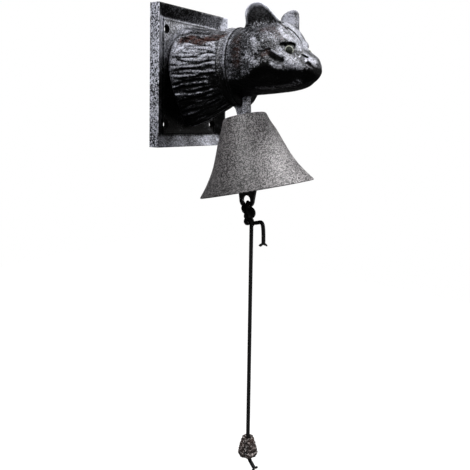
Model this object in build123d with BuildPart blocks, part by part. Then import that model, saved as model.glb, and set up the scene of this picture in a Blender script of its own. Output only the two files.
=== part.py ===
from build123d import *
import math
import os

os.makedirs("parts", exist_ok=True)

# The wall is the plane Y = 0, the bell stands out towards -Y and +Z is up.
# The origin is the centre of the plate's back face.

# Back plate, a bevelled frame round a recessed panel
plate_width = 120
plate_height = 150
frame_depth = 12.5
panel_thickness = 6
frame_lip = 1.6
frame_band = 13
bead_inset = 0.8
bead_width = 1.5
bead_height = 1
hole_spacing_x = 82
hole_spacing_z = 101
hole_diameter = 8
hole_mouth_diameter = 9.6

# Screws that hold the bust from behind, heads sunk in the plate's back
screw_diameter = 5
screw_head_diameter = 9.5
screw_head_height = 3
screw_head_sink = 0.4
screw_depth_in_bust = 14
screw_slot_width = 1.4
screw_slot_depth = 1.5
screw_upper_z = 36
screw_lower_z = -26

# Neck, a vault of fur locks from the panel to the collar
neck_base_half_width = 40.5
neck_base_top = 58.4
neck_base_bottom = -54.5
neck_widest_z = 12
collar_half_width = 33.6
collar_top = 52.2
collar_bottom = -28.5
lock_count = 22
lock_depth = 1.1
lock_wave = 0.5
collar_distance = 67.5
collar_width = 13
collar_rim_width = 2
collar_rim_height = 1
collar_tilt = 4

# Head
head_half_width = 39.8
skull_top = 57.5
jaw_bottom = -16
jaw_tuck = 1.25
head_level = 14
nose_distance = 171.5
nose_z = 12.5
nose_half_width = 6.5
nose_radius = 5.5
muzzle_pad_radius = 6.8
muzzle_pad_length = 19
muzzle_pad_spacing = 15
muzzle_pad_rise = 3
eye_spacing = 37
eye_setback = 25.5
eye_z = 26.4
eye_radius = 4.8
eye_lid = 0.6
eye_root = 4
socket_radius = 9.5
socket_depth = 0.5
brow_length = 24
brow_radius = 5.2
brow_rise = 7.2
dimple_length = 18
dimple_radius = 5
dimple_spacing = 69.4
dimple_setback = 6.7
dimple_drop = 7.5
ear_base_x = 22
ear_base_y = -119.5
ear_turn = 29
ear_root_z = 40
ear_height = 31.7
ear_half_width = 20
ear_front = 2
ear_thickness = 7.5
ear_hollow_depth = 5
ear_rim = 2.4

# Lug under the chin and the bell's axis, tilted so that the mouth looks outwards
crown_y = -82.4
crown_z = -38.1
bell_tilt = 13
lug_thickness = 10
lug_length = 14
lug_root_length = 22
lug_height = 24

# Bell
bell_height = 80.4
bell_wall = 4.2
crown_radius = 24.3
shoulder_radius = 2.8
waist_radius = 31
middle_radius = 40.2
flare_radius = 49.6
mouth_radius = 62.3

# Eye bolt, washer and nut that clamp the bell under the lug
bolt_diameter = 6
bolt_depth_in_lug = 15
bolt_eye_drop = 32
bolt_eye_radius = 6.2
bolt_eye_wire = 1.9
washer_diameter = 14
washer_thickness = 1.2
nut_across_flats = 10
nut_height = 5
running_clearance = 0.05

# Link ring and clapper
link_radius = 7.5
link_wire = 1.4
hang_clearance = 0.25
clapper_eye_radius = 5.4
clapper_eye_wire = 1.8
clapper_ball_drop = 19
clapper_ball_radius = 10
clapper_hole_drop = 40
clapper_hole_diameter = 10
clapper_end_radius = 9.3
clapper_shoulder_half = 12
clapper_plate_thickness = 3.2
clapper_rod_diameter = 5

# Cord, its knots, the pull and the frayed ends
cord_diameter = 4.2
soft_clearance = 0.3
loop_corner_clearance = 1.5
loop_slack = 0.2
knot_radius = 9
knot_height = 10.4
knot_shift = 2.9
hitch_radius = 5.2
hitch_height = 6
hitch_shift = 4.9
pull_top_radius = 5.6
pull_bottom_radius = 11.3
pull_height = 23
pull_bore_clearance = 0.4
pull_start = 249.2
pull_recess_depth = 4.5
pull_recess_radius = 5.4
end_knot_radius = 4.2
end_knot_height = 5
end_knot_clearance = 0.15
fray_length = 4.5
fray_radius = 5.2


def export_piece(builder, label):
    builder.part.label = label
    export_step(builder.part, f"parts/{label}.step")


# A closed section: an ellipse above its widest level, pointed by power below it,
# with locks as waves of the radius.
def section_points(half_width, top, bottom, widest, power=1.0, count=24, locks=0, depth=0.0, phase=0.0):
    points = []
    for step in range(count):
        angle = 2 * math.pi * step / count
        across = math.cos(angle)
        rise = math.sin(angle)
        if rise < 0:
            across = math.copysign(abs(across) ** power, across)
            rise = -(abs(rise) ** power)
        reach = (top - widest) if rise >= 0 else (widest - bottom)
        swell = 1 + depth * math.cos(locks * angle + phase) / half_width
        points.append((half_width * across * swell, widest + reach * rise * swell))
    return points


# Even parameters give every section of a loft the same knots
def closed_face(points):
    parameters = [step / len(points) for step in range(len(points) + 1)]
    make_face(Edge.make_spline([Vector(*point) for point in points], periodic=True, parameters=parameters))


# The ear's outline on its plane, as shares of its half width and height
def ear_leaf(width_share, height_share, up):
    outline = [
        (-0.97, 0),
        (-0.98, 0.65),
        (-0.82, 0.89),
        (-0.44, 1),
        (-0.04, 0.9),
        (0.31, 0.71),
        (0.72, 0.47),
        (1.06, 0.27),
        (1.06, 0),
    ]
    points = []
    for across, height in outline:
        x = across * ear_half_width * width_share
        points.append(Vector(x, up * height * ear_height * height_share))
    top = Edge.make_spline(points[1:-1], parameters=[0, 0.17, 0.35, 0.52, 0.68, 0.86, 1])
    sides = [Edge.make_line(points[i], points[i + 1]) for i in (0, -2, -1)]
    make_face([top, *sides])


# Half an ellipse beside a line, away from a side, to be turned about that line into a rounded form
def rounded_profile(center, direction, away, length, radius):
    line = Vector(*direction)
    with BuildSketch(Plane(origin=center, x_dir=line, z_dir=line.cross(Vector(*away)))) as profile:
        Ellipse(length / 2, radius)
        Rectangle(length, radius, align=(Align.CENTER, Align.MIN), mode=Mode.SUBTRACT)
    return profile.sketch


# Back plate
panel_width = plate_width - 2 * frame_band
panel_height = plate_height - 2 * frame_band
head_recess_depth = screw_head_height + screw_head_sink
with BuildPart() as back_plate:
    with BuildSketch(Plane.XZ):
        Rectangle(plate_width, plate_height)
    extrude(amount=frame_depth)
    with BuildSketch(Plane.XZ.offset(frame_depth)):
        Rectangle(plate_width - 2 * frame_lip, plate_height - 2 * frame_lip)
    with BuildSketch(Plane.XZ.offset(panel_thickness)):
        Rectangle(panel_width, panel_height)
    loft(mode=Mode.SUBTRACT)
    with BuildSketch(Plane.XZ.offset(panel_thickness)):
        Rectangle(panel_width - 2 * bead_inset, panel_height - 2 * bead_inset)
        bead_inner = bead_inset + bead_width
        Rectangle(panel_width - 2 * bead_inner, panel_height - 2 * bead_inner, mode=Mode.SUBTRACT)
    extrude(amount=bead_height)
    with Locations(Plane.XZ.offset(panel_thickness)):
        with GridLocations(hole_spacing_x, hole_spacing_z, 2, 2):
            CounterSinkHole(hole_diameter / 2, hole_mouth_diameter / 2)
    with BuildSketch(Plane.XZ):
        with Locations((0, screw_upper_z), (0, screw_lower_z)):
            Circle(screw_head_diameter / 2 + 0.5)
    extrude(amount=head_recess_depth, mode=Mode.SUBTRACT)
    with BuildSketch(Plane.XZ):
        with Locations((0, screw_upper_z), (0, screw_lower_z)):
            Circle(screw_diameter / 2 + running_clearance)
    extrude(amount=panel_thickness, mode=Mode.SUBTRACT)
export_piece(back_plate, "back_plate")

# Planes that the bust and the bell share
tilt = math.radians(bell_tilt)
crown_plane = Plane(origin=(0, crown_y, crown_z), x_dir=(1, 0, 0), z_dir=(0, math.sin(tilt), math.cos(tilt)))
collar_lean = math.radians(collar_tilt)
collar_plane = Plane(
    origin=(0, -collar_distance, neck_widest_z),
    x_dir=(1, 0, 0),
    z_dir=(0, -math.cos(collar_lean), math.sin(collar_lean)),
)

eye_x = eye_spacing / 2
eye_y = eye_setback - nose_distance


def gaze_plane(side):
    return Plane(
        origin=(side * eye_x, eye_y, eye_z),
        x_dir=(0.7, side * 0.7, 0),
        z_dir=(side * 0.69, -0.7, 0.18),
    )


# Cat's bust: neck, collar, head, ears, eyes and lug are one casting
neck_steps = 4
neck_end = collar_distance + 5.5
neck_length = neck_end - panel_thickness
with BuildPart() as cat_bust:
    for step in range(neck_steps + 1):
        part = step / neck_steps
        sink = math.sin(math.pi * part / 2)
        with BuildSketch(Plane.XZ.offset(panel_thickness + neck_length * part)):
            closed_face(section_points(
                neck_base_half_width + (collar_half_width - 1.6 - neck_base_half_width) * part,
                neck_base_top + (collar_top - 1.7 - neck_base_top) * sink,
                neck_base_bottom + (collar_bottom + 3.5 - neck_base_bottom) * part ** 1.3,
                neck_widest_z,
                1.4 - 0.4 * part,
                4 * lock_count,
                lock_count,
                lock_depth,
                lock_wave * math.pi * math.sin(2.2 * math.pi * part),
            ))
    loft()

    # Collar band with a raised rim along each edge
    for start, length, swell in (
        (0, collar_width, 0),
        (0, collar_rim_width, collar_rim_height),
        (collar_width - collar_rim_width, collar_rim_width, collar_rim_height),
    ):
        with BuildSketch(collar_plane.offset(start)):
            closed_face(section_points(
                collar_half_width + swell,
                collar_top + swell - neck_widest_z,
                collar_bottom - swell - neck_widest_z,
                2,
            ))
        extrude(amount=length)

    # Head: each section's share of the way to the nose, then of the head's half width, of its top,
    # of its bottom and of the level where it is widest
    head_sections = [
        (0, 0.84, 0.89, 1.34, 0.99),
        (0.06, 0.87, 0.905, 1.25, 1),
        (0.205, 0.96, 0.95, 1.06, 1.07),
        (0.33, 1, 0.98, 1, 1.07),
        (0.45, 0.985, 1, 0.94, 1),
        (0.555, 0.93, 0.98, 0.88, 0.86),
        (0.635, 0.855, 0.93, 0.81, 0.71),
        (0.71, 0.75, 0.8, 0.75, 0.57),
        (0.76, 0.65, 0.635, 0.69, 0.46),
        (0.8, 0.55, 0.515, 0.62, 0.39),
        (0.84, 0.47, 0.445, 0.53, 0.36),
        (0.895, 0.41, 0.39, 0.41, 0.36),
        (0.945, 0.34, 0.35, 0.25, 0.43),
        (0.98, 0.23, 0.3, 0.05, 0.54),
    ]
    head_start = neck_end + 1
    for share, width, top, bottom, level in head_sections:
        with BuildSketch(Plane.XZ.offset(head_start + (nose_distance - head_start) * share)):
            closed_face(section_points(
                head_half_width * width, skull_top * top, jaw_bottom * bottom, head_level * level, jaw_tuck
            ))
    loft()

    # Muzzle pads, brows and the hollows of the eyes and cheeks
    for side in (-1, 1):
        pad_y = muzzle_pad_length / 2 + 2 - nose_distance
        pad_center = (side * muzzle_pad_spacing / 2, pad_y, nose_z + muzzle_pad_rise)
        revolve(
            rounded_profile(pad_center, (0, 1, 0), (side, 0, 1), muzzle_pad_length, muzzle_pad_radius),
            axis=Axis(pad_center, (0, 1, 0)),
        )
        brow_center = (side * eye_x, eye_y + 1, eye_z + brow_rise)
        brow_line = (side * 0.74, 0.66, 0.06)
        revolve(
            rounded_profile(brow_center, brow_line, (0, -1, 1), brow_length, brow_radius),
            axis=Axis(brow_center, brow_line),
        )
        with Locations(gaze_plane(side).offset(socket_radius - socket_depth)):
            Sphere(socket_radius, mode=Mode.SUBTRACT)
        dimple_center = (side * dimple_spacing / 2, eye_y + dimple_setback, eye_z - dimple_drop)
        dimple_line = (-side * 0.34, -0.85, -0.41)
        revolve(
            rounded_profile(dimple_center, dimple_line, (-side, 0, 0), dimple_length, dimple_radius),
            axis=Axis(dimple_center, dimple_line),
            mode=Mode.SUBTRACT,
        )

    # Ears: a leaning leaf each, thinner at the back and hollowed from the front
    for side in (-1, 1):
        turn = math.radians(ear_turn)
        ear_plane = Plane(
            origin=(side * ear_base_x, ear_base_y, ear_root_z),
            x_dir=(-side * math.sin(turn), -math.cos(turn), 0),
            z_dir=(side * math.cos(turn), -math.sin(turn), 0),
        )
        up = 1 if ear_plane.y_dir.Z > 0 else -1
        with BuildSketch(ear_plane.offset(ear_front)):
            ear_leaf(1, 1, up)
        with BuildSketch(ear_plane.offset(ear_front - ear_thickness)):
            ear_leaf(0.8, 0.88, up)
        loft()
        with BuildSketch(ear_plane.offset(ear_front)):
            ear_leaf(1 - ear_rim / ear_half_width, 1 - ear_rim / ear_height, up)
        with BuildSketch(ear_plane.offset(ear_front - ear_hollow_depth)):
            ear_leaf(0.55, 0.7, up)
        loft(mode=Mode.SUBTRACT)

    # Lug, wider at its root, with the bolt's bore from below
    with BuildSketch(crown_plane):
        Rectangle(lug_thickness, lug_length)
    with BuildSketch(crown_plane.offset(lug_height)):
        Rectangle(lug_thickness + 1, lug_root_length)
    loft()
    with BuildSketch(crown_plane):
        Circle(bolt_diameter / 2 + running_clearance)
    extrude(amount=bolt_depth_in_lug + 1, mode=Mode.SUBTRACT)

    # Nose pad
    with BuildSketch(Plane.XY.offset(nose_z)):
        with Locations((0, -(nose_distance - nose_radius))):
            Ellipse(nose_half_width, nose_radius)
            Rectangle(
                2 * nose_half_width, nose_radius, align=(Align.CENTER, Align.MIN), mode=Mode.SUBTRACT
            )
    revolve(axis=Axis((0, -(nose_distance - nose_radius), nose_z), (1, 0, 0)), revolution_arc=360)

    # Eyes: a ball in a raised lid ring
    for side in (-1, 1):
        gaze = gaze_plane(side)
        with BuildSketch(gaze.offset(-eye_root)):
            Circle(eye_radius + eye_lid)
        extrude(amount=eye_root + 1)
        with BuildSketch(gaze.offset(1)):
            Circle(eye_radius - eye_lid)
        extrude(amount=-1.4, mode=Mode.SUBTRACT)
        with Locations(gaze.offset(0.5 - 1.3 * eye_radius)):
            Sphere(1.3 * eye_radius)

    # Tapped bores for the two screws
    with BuildSketch(Plane.XZ.offset(panel_thickness)):
        with Locations((0, screw_upper_z), (0, screw_lower_z)):
            Circle(screw_diameter / 2 + running_clearance)
    extrude(amount=screw_depth_in_bust + 1, mode=Mode.SUBTRACT)
export_piece(cat_bust, "cat_bust")

# Two screws from behind
for label, height in (("bust_screw_upper", screw_upper_z), ("bust_screw_lower", screw_lower_z)):
    seat = head_recess_depth
    with BuildPart() as bust_screw:
        with BuildSketch(Plane.XZ.offset(seat)):
            with Locations((0, height)):
                Circle(screw_head_diameter / 2)
        extrude(amount=-screw_head_height)
        with BuildSketch(Plane.XZ.offset(seat)):
            with Locations((0, height)):
                Circle(screw_diameter / 2)
        extrude(amount=panel_thickness - seat + screw_depth_in_bust)
        with BuildSketch(Plane.XZ.offset(seat - screw_head_height)):
            with Locations((0, height)):
                Rectangle(screw_head_diameter, screw_slot_width)
        extrude(amount=screw_slot_depth, mode=Mode.SUBTRACT)
    export_piece(bust_screw, label)

# Bell, a flared shell turned about the crown's axis
bell_axis = Axis(crown_plane.origin, crown_plane.z_dir)
profile_plane = Plane(origin=crown_plane.origin, x_dir=(1, 0, 0), z_dir=-crown_plane.y_dir)
bell_stations = [
    (waist_radius, 0.23 * bell_height),
    (middle_radius, 0.54 * bell_height),
    (flare_radius, 0.77 * bell_height),
    (mouth_radius, bell_height),
]
with BuildPart() as bell:
    with BuildSketch(profile_plane):
        with BuildLine():
            shoulder = (crown_radius, -shoulder_radius)
            Line((0, 0), (crown_radius - shoulder_radius, 0))
            RadiusArc((crown_radius - shoulder_radius, 0), shoulder, shoulder_radius)
            Spline(shoulder, *[(radius, -drop) for radius, drop in bell_stations])
            Line((mouth_radius, -bell_height), (mouth_radius - bell_wall, -bell_height))
            inner_shoulder = (crown_radius - bell_wall, -bell_wall - shoulder_radius)
            inner_flat = (crown_radius - bell_wall - shoulder_radius, -bell_wall)
            inner_stations = [(radius - bell_wall, -drop) for radius, drop in reversed(bell_stations)]
            Spline(*inner_stations, inner_shoulder)
            RadiusArc(inner_shoulder, inner_flat, -shoulder_radius)
            Line(inner_flat, (0, -bell_wall))
            Line((0, -bell_wall), (0, 0))
        make_face()
    revolve(axis=bell_axis)
    with BuildSketch(crown_plane):
        Circle(bolt_diameter / 2 + running_clearance)
    extrude(amount=-bell_wall, mode=Mode.SUBTRACT)
export_piece(bell, "bell")

# Washer, nut and eye bolt
with BuildPart() as bell_washer:
    with BuildSketch(crown_plane.offset(-bell_wall)):
        Circle(washer_diameter / 2)
        Circle(bolt_diameter / 2 + running_clearance, mode=Mode.SUBTRACT)
    extrude(amount=-washer_thickness)
export_piece(bell_washer, "bell_washer")

with BuildPart() as bell_nut:
    with BuildSketch(crown_plane.offset(-bell_wall - washer_thickness)):
        RegularPolygon(nut_across_flats / 2, 6, major_radius=False)
        Circle(bolt_diameter / 2 + running_clearance, mode=Mode.SUBTRACT)
    extrude(amount=-nut_height)
export_piece(bell_nut, "bell_nut")

bolt_eye = crown_plane.from_local_coords(Vector(0, 0, -bolt_eye_drop))
with BuildPart() as eye_bolt:
    with BuildSketch(crown_plane.offset(bolt_depth_in_lug)):
        Circle(bolt_diameter / 2)
    extrude(amount=-(bolt_depth_in_lug + bolt_eye_drop - bolt_eye_radius))
    with Locations(Plane(origin=bolt_eye, z_dir=(1, 0, 0))):
        Torus(bolt_eye_radius, bolt_eye_wire)
        Cylinder(bolt_eye_radius - bolt_eye_wire, bolt_diameter, mode=Mode.SUBTRACT)
export_piece(eye_bolt, "eye_bolt")

# Link ring, hung in the bolt's eye
hang_y = bolt_eye.Y
link_top_z = bolt_eye.Z - (bolt_eye_radius - bolt_eye_wire - link_wire - hang_clearance)
link_centre_z = link_top_z - link_radius
with BuildPart() as clapper_link:
    with Locations(Plane(origin=(0, hang_y, link_centre_z), z_dir=(0, 1, 0))):
        Torus(link_radius, link_wire)
export_piece(clapper_link, "clapper_link")

# Clapper: eye, rod, ball and a flat end with the cord's hole, one casting
clapper_eye_inside = clapper_eye_radius - clapper_eye_wire
clapper_eye_z = link_centre_z - link_radius - (clapper_eye_inside - link_wire - hang_clearance)
ball_z = clapper_eye_z - clapper_ball_drop
cord_hole_z = clapper_eye_z - clapper_hole_drop
with BuildPart() as clapper:
    with Locations(Plane(origin=(0, hang_y, clapper_eye_z), z_dir=(1, 0, 0))):
        Torus(clapper_eye_radius, clapper_eye_wire)
    with BuildSketch(Plane.XY.offset(clapper_eye_z - clapper_eye_radius)):
        with Locations((0, hang_y)):
            Circle(clapper_rod_diameter / 2)
    extrude(amount=-(clapper_ball_drop - clapper_eye_radius))
    with Locations((0, hang_y, ball_z)):
        Sphere(clapper_ball_radius)
    with BuildSketch(Plane.YZ.offset(-clapper_plate_thickness / 2)):
        with Locations((hang_y, cord_hole_z)):
            Circle(clapper_end_radius)
        Polygon(
            (hang_y - clapper_end_radius, cord_hole_z),
            (hang_y + clapper_end_radius, cord_hole_z),
            (hang_y + clapper_shoulder_half, ball_z - clapper_ball_radius / 2),
            (hang_y - clapper_shoulder_half, ball_z - clapper_ball_radius / 2),
            align=None,
        )
    extrude(amount=clapper_plate_thickness)
    with BuildSketch(Plane.YZ.offset(-clapper_ball_radius)):
        with Locations((hang_y, cord_hole_z)):
            Circle(clapper_hole_diameter / 2)
    extrude(amount=2 * clapper_ball_radius, mode=Mode.SUBTRACT)
export_piece(clapper, "clapper")

# Cord routes, chosen by hand. Each arc is as large as its two runs allow.
side_tail_route = [
    (0, -98.9, -153.6),
    (0, -104.4, -152.5),
    (0, -110.4, -150.6),
    (0, -112.6, -160.5),
    (0, -112.9, -173.5),
]
pull_cord_route = [
    (0, -96.5, -155.6),
    (0, -102.75, -433.5),
    (0, -113.4, -444),
]


def route_radii(points):
    radii = []
    for before, corner, after in zip(points, points[1:], points[2:]):
        run_in = Vector(*corner) - Vector(*before)
        run_out = Vector(*after) - Vector(*corner)
        half_turn = math.radians(run_in.get_angle(run_out)) / 2
        radii.append(0.45 * min(run_in.length, run_out.length) / math.tan(half_turn))
    return radii


def cord_tube(points, label):
    radii = route_radii(points)
    with BuildPart() as tube:
        with BuildLine() as path:
            FilletPolyline(*points, radius=radii)
        start = path.line @ 0
        with BuildSketch(Plane(origin=start, z_dir=path.line % 0)):
            Circle(cord_diameter / 2)
        sweep()
    section = math.pi * cord_diameter ** 2 / 4
    length = path.wires()[0].length
    print(label, "radii", [round(radius, 1) for radius in radii])
    print(label, "length", round(length, 1), "volume share", round(tube.part.volume / (section * length), 4))
    return tube


side_tail = cord_tube(side_tail_route, "cord_side_tail")
export_piece(side_tail, "cord_side_tail")
pull_cord = cord_tube(pull_cord_route, "pull_cord")
export_piece(pull_cord, "pull_cord")

# Loop through the clapper's hole and round the bar under it
cord_radius = cord_diameter / 2
bar_z = cord_hole_z - (clapper_hole_diameter / 2 + clapper_end_radius) / 2
loop_radius = clapper_plate_thickness / 2 + cord_radius + soft_clearance + loop_slack
bar_height = clapper_end_radius - clapper_hole_diameter / 2
loop_rise = bar_height / 2 + cord_radius + soft_clearance
loop_top_z = bar_z + loop_rise + loop_corner_clearance
knot_top_z = cord_hole_z - clapper_end_radius - 1.5
with BuildPart() as cord_loop:
    with BuildLine(Plane.XZ.offset(-hang_y)):
        Line((-loop_radius, knot_top_z), (-loop_radius, loop_top_z - loop_radius))
        ThreePointArc(
            (-loop_radius, loop_top_z - loop_radius),
            (0, loop_top_z),
            (loop_radius, loop_top_z - loop_radius),
        )
        Line((loop_radius, loop_top_z - loop_radius), (loop_radius, knot_top_z))
    with BuildSketch(Plane.XY.offset(knot_top_z)):
        with Locations((-loop_radius, hang_y)):
            Circle(cord_radius)
    sweep()
export_piece(cord_loop, "cord_loop")


def barrel_profile(axis_y, top_z, height, end_radius, belly_radius):
    with BuildSketch(Plane.YZ) as profile:
        with BuildLine():
            Line((axis_y, top_z), (axis_y - end_radius, top_z))
            ThreePointArc(
                (axis_y - end_radius, top_z),
                (axis_y - belly_radius, top_z - height / 2),
                (axis_y - end_radius, top_z - height),
            )
            Line((axis_y - end_radius, top_z - height), (axis_y, top_z - height))
            Line((axis_y, top_z - height), (axis_y, top_z))
        make_face()
    return profile.sketch


# Knot under the eye and the hitch below it
knot_y = hang_y - knot_shift
with BuildPart() as cord_knot:
    revolve(
        barrel_profile(knot_y, knot_top_z, knot_height, knot_radius - 1.2, knot_radius),
        axis=Axis((0, knot_y, 0), (0, 0, 1)),
    )
export_piece(cord_knot, "cord_knot")

hitch_y = hang_y - hitch_shift
with BuildPart() as cord_hitch:
    revolve(
        barrel_profile(hitch_y, knot_top_z - knot_height, hitch_height, hitch_radius - 0.5, hitch_radius),
        axis=Axis((0, hitch_y, 0), (0, 0, 1)),
    )
    add(side_tail.part, mode=Mode.SUBTRACT)
    add(pull_cord.part, mode=Mode.SUBTRACT)
export_piece(cord_hitch, "cord_hitch")


def fray_plane(route):
    end = Vector(*route[-1])
    return Plane(origin=end, z_dir=(end - Vector(*route[-2])).normalized())


for label, route in (("side_tail_end", side_tail_route), ("pull_cord_end", pull_cord_route)):
    with BuildPart() as frayed_end:
        with BuildSketch(fray_plane(route)):
            Circle(cord_radius)
        with BuildSketch(fray_plane(route).offset(fray_length)):
            Circle(fray_radius)
        loft()
    export_piece(frayed_end, label)

# Pull, a small knobbly casting threaded on the cord, on the knot at its end
run_start = Vector(*pull_cord_route[0])
run_direction = (Vector(*pull_cord_route[1]) - run_start).normalized()
pull_plane = Plane(origin=run_start + run_direction * pull_start, x_dir=(1, 0, 0), z_dir=run_direction)
with BuildPart() as cord_pull:
    for part, swell in ((0, 0), (0.25, 0.12), (0.55, 0.1), (0.8, 0.08), (1, -0.04)):
        radius = pull_top_radius + (pull_bottom_radius - pull_top_radius) * part
        with BuildSketch(pull_plane.offset(pull_height * part)):
            closed_face(section_points(
                radius * (1 + swell), radius, -radius, 0, 1, 30, 5, 0.8 * part, 2.5 * part
            ))
    loft()
    with BuildSketch(pull_plane):
        Circle(cord_radius + pull_bore_clearance)
    extrude(amount=pull_height, mode=Mode.SUBTRACT)
    with BuildSketch(pull_plane.offset(pull_height)):
        Circle(pull_recess_radius)
    extrude(amount=-pull_recess_depth, mode=Mode.SUBTRACT)
export_piece(cord_pull, "cord_pull")

knot_start = pull_height - pull_recess_depth + soft_clearance
with BuildPart() as end_knot:
    with BuildSketch(pull_plane.offset(knot_start)):
        Circle(end_knot_radius)
        Circle(cord_radius + end_knot_clearance, mode=Mode.SUBTRACT)
    extrude(amount=end_knot_height)
export_piece(end_knot, "cord_end_knot")

for label, value in (
    ("hang_y", hang_y),
    ("link_top_z", link_top_z),
    ("link_centre_z", link_centre_z),
    ("clapper_eye_z", clapper_eye_z),
    ("cord_hole_z", cord_hole_z),
    ("loop_top_z", loop_top_z),
):
    print(label, round(value, 3))
print("pull axis", tuple(round(value, 5) for value in (run_direction.X, run_direction.Y, run_direction.Z)))
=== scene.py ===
import math
import random

import bmesh
import bpy
import numpy as np
from mathutils import Matrix, Vector, noise


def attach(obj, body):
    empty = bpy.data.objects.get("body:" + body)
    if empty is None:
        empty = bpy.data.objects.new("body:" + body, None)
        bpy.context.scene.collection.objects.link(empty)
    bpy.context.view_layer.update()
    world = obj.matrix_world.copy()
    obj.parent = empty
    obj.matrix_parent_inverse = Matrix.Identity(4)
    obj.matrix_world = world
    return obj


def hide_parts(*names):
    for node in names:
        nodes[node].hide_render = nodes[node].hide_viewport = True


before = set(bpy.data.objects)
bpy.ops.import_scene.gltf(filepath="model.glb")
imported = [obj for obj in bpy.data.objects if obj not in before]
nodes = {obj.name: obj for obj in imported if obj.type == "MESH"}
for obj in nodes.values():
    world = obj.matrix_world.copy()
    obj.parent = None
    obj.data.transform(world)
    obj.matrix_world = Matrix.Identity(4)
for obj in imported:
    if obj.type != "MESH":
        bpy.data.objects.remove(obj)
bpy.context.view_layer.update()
scene = bpy.context.scene
mm = 0.001

# Camera, where the photograph was taken from
cameraView = {
    "place": (-523, -445, -37),
    "yaw": -54.65,
    "down": 9.7,
    "roll": 1.77,
    "lens": 44.73,
    "shift": -0.0447,
}


def makeCamera(view):
    yaw, down, roll = (math.radians(view[key]) for key in ("yaw", "down", "roll"))
    ahead = Vector((-math.sin(yaw) * math.cos(down), math.cos(yaw) * math.cos(down), -math.sin(down)))
    across = ahead.cross(Vector((0, 0, 1))).normalized()
    above = across.cross(ahead)
    right = across * math.cos(roll) + above * math.sin(roll)
    top = above * math.cos(roll) - across * math.sin(roll)
    camera = bpy.data.objects.new("camera", bpy.data.cameras.new("camera"))
    camera.data.lens = view["lens"]
    camera.data.shift_y = view["shift"]
    camera.data.clip_start = 0.01
    turn = Matrix((right, top, -ahead)).transposed().to_4x4()
    camera.matrix_world = Matrix.Translation(Vector(view["place"]) * mm) @ turn
    scene.collection.objects.link(camera)
    scene.camera = camera


makeCamera(cameraView)


# Shader helpers: each one adds a node and returns its output
def feed(tree, socket, value):
    if isinstance(value, bpy.types.NodeSocket):
        tree.links.new(value, socket)
    else:
        socket.default_value = value


def ramp(tree, source, low, high, lowColour=(0, 0, 0), highColour=(1, 1, 1)):
    node = tree.nodes.new("ShaderNodeValToRGB")
    for stop, position, colour in zip(node.color_ramp.elements, (low, high), (lowColour, highColour)):
        stop.position = position
        stop.color = (*colour, 1)
    feed(tree, node.inputs["Fac"], source)
    return node.outputs["Color"]


def mixColour(tree, factor, first, second):
    node = tree.nodes.new("ShaderNodeMix")
    node.data_type = "RGBA"
    for label, value in (("Factor", factor), ("A", first), ("B", second)):
        feed(tree, node.inputs[label], value)
    return node.outputs["Result"]


def mathNode(tree, operation, first, second=0.0):
    node = tree.nodes.new("ShaderNodeMath")
    node.operation = operation
    for socket, value in zip(node.inputs, (first, second)):
        feed(tree, socket, value)
    return node.outputs[0]


def noiseNode(tree, vector, scale, detail=3.0, roughness=0.6, distortion=0.0):
    node = tree.nodes.new("ShaderNodeTexNoise")
    labels = ("Vector", "Scale", "Detail", "Roughness", "Distortion")
    for label, value in zip(labels, (vector, scale, detail, roughness, distortion)):
        feed(tree, node.inputs[label], value)
    return node.outputs["Fac"]


def spanNode(tree, source, low, high, first=0.0, last=1.0):
    node = tree.nodes.new("ShaderNodeMapRange")
    labels = ("Value", "From Min", "From Max", "To Min", "To Max")
    for label, value in zip(labels, (source, low, high, first, last)):
        feed(tree, node.inputs[label], value)
    return node.outputs["Result"]


def axesNode(tree, vector):
    node = tree.nodes.new("ShaderNodeSeparateXYZ")
    feed(tree, node.inputs["Vector"], vector)
    return node.outputs


# Sum of sources, each with its weight, on top of a start value
def blendLevel(tree, start, parts):
    level = start
    for source, weight in parts:
        level = mathNode(tree, "ADD", mathNode(tree, "MULTIPLY", source, weight), level)
    return level


def bumpFrom(tree, height, shader, distance, strength=1.0):
    bump = tree.nodes.new("ShaderNodeBump")
    bump.inputs["Strength"].default_value = strength
    bump.inputs["Distance"].default_value = distance * mm
    feed(tree, bump.inputs["Height"], height)
    feed(tree, shader.inputs["Normal"], bump.outputs["Normal"])


# Paint from black through dark grey to a pale bluish tone, which stands both for pale flecks and for painted
# highlights and sky reflections; dull where it is dark
paleFleckAndHighlight = (0.46, 0.47, 0.54)


def paintTone(tree, level, shader):
    shade = tree.nodes.new("ShaderNodeValToRGB")
    stops = shade.color_ramp.elements
    stops[0].position, stops[0].color = 0.05, (0.001, 0.001, 0.001, 1)
    stops[1].position, stops[1].color = 0.95, (*paleFleckAndHighlight, 1)
    for position, share in ((0.3, 0.035), (0.5, 0.15), (0.7, 0.45)):
        stops.new(position).color = (*(share * value for value in paleFleckAndHighlight), 1)
    feed(tree, shade.inputs["Fac"], level)
    feed(tree, shader.inputs["Specular IOR Level"], spanNode(tree, level, 0.1, 0.6, 0.03, 0.5))
    return shade.outputs["Color"]


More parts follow.
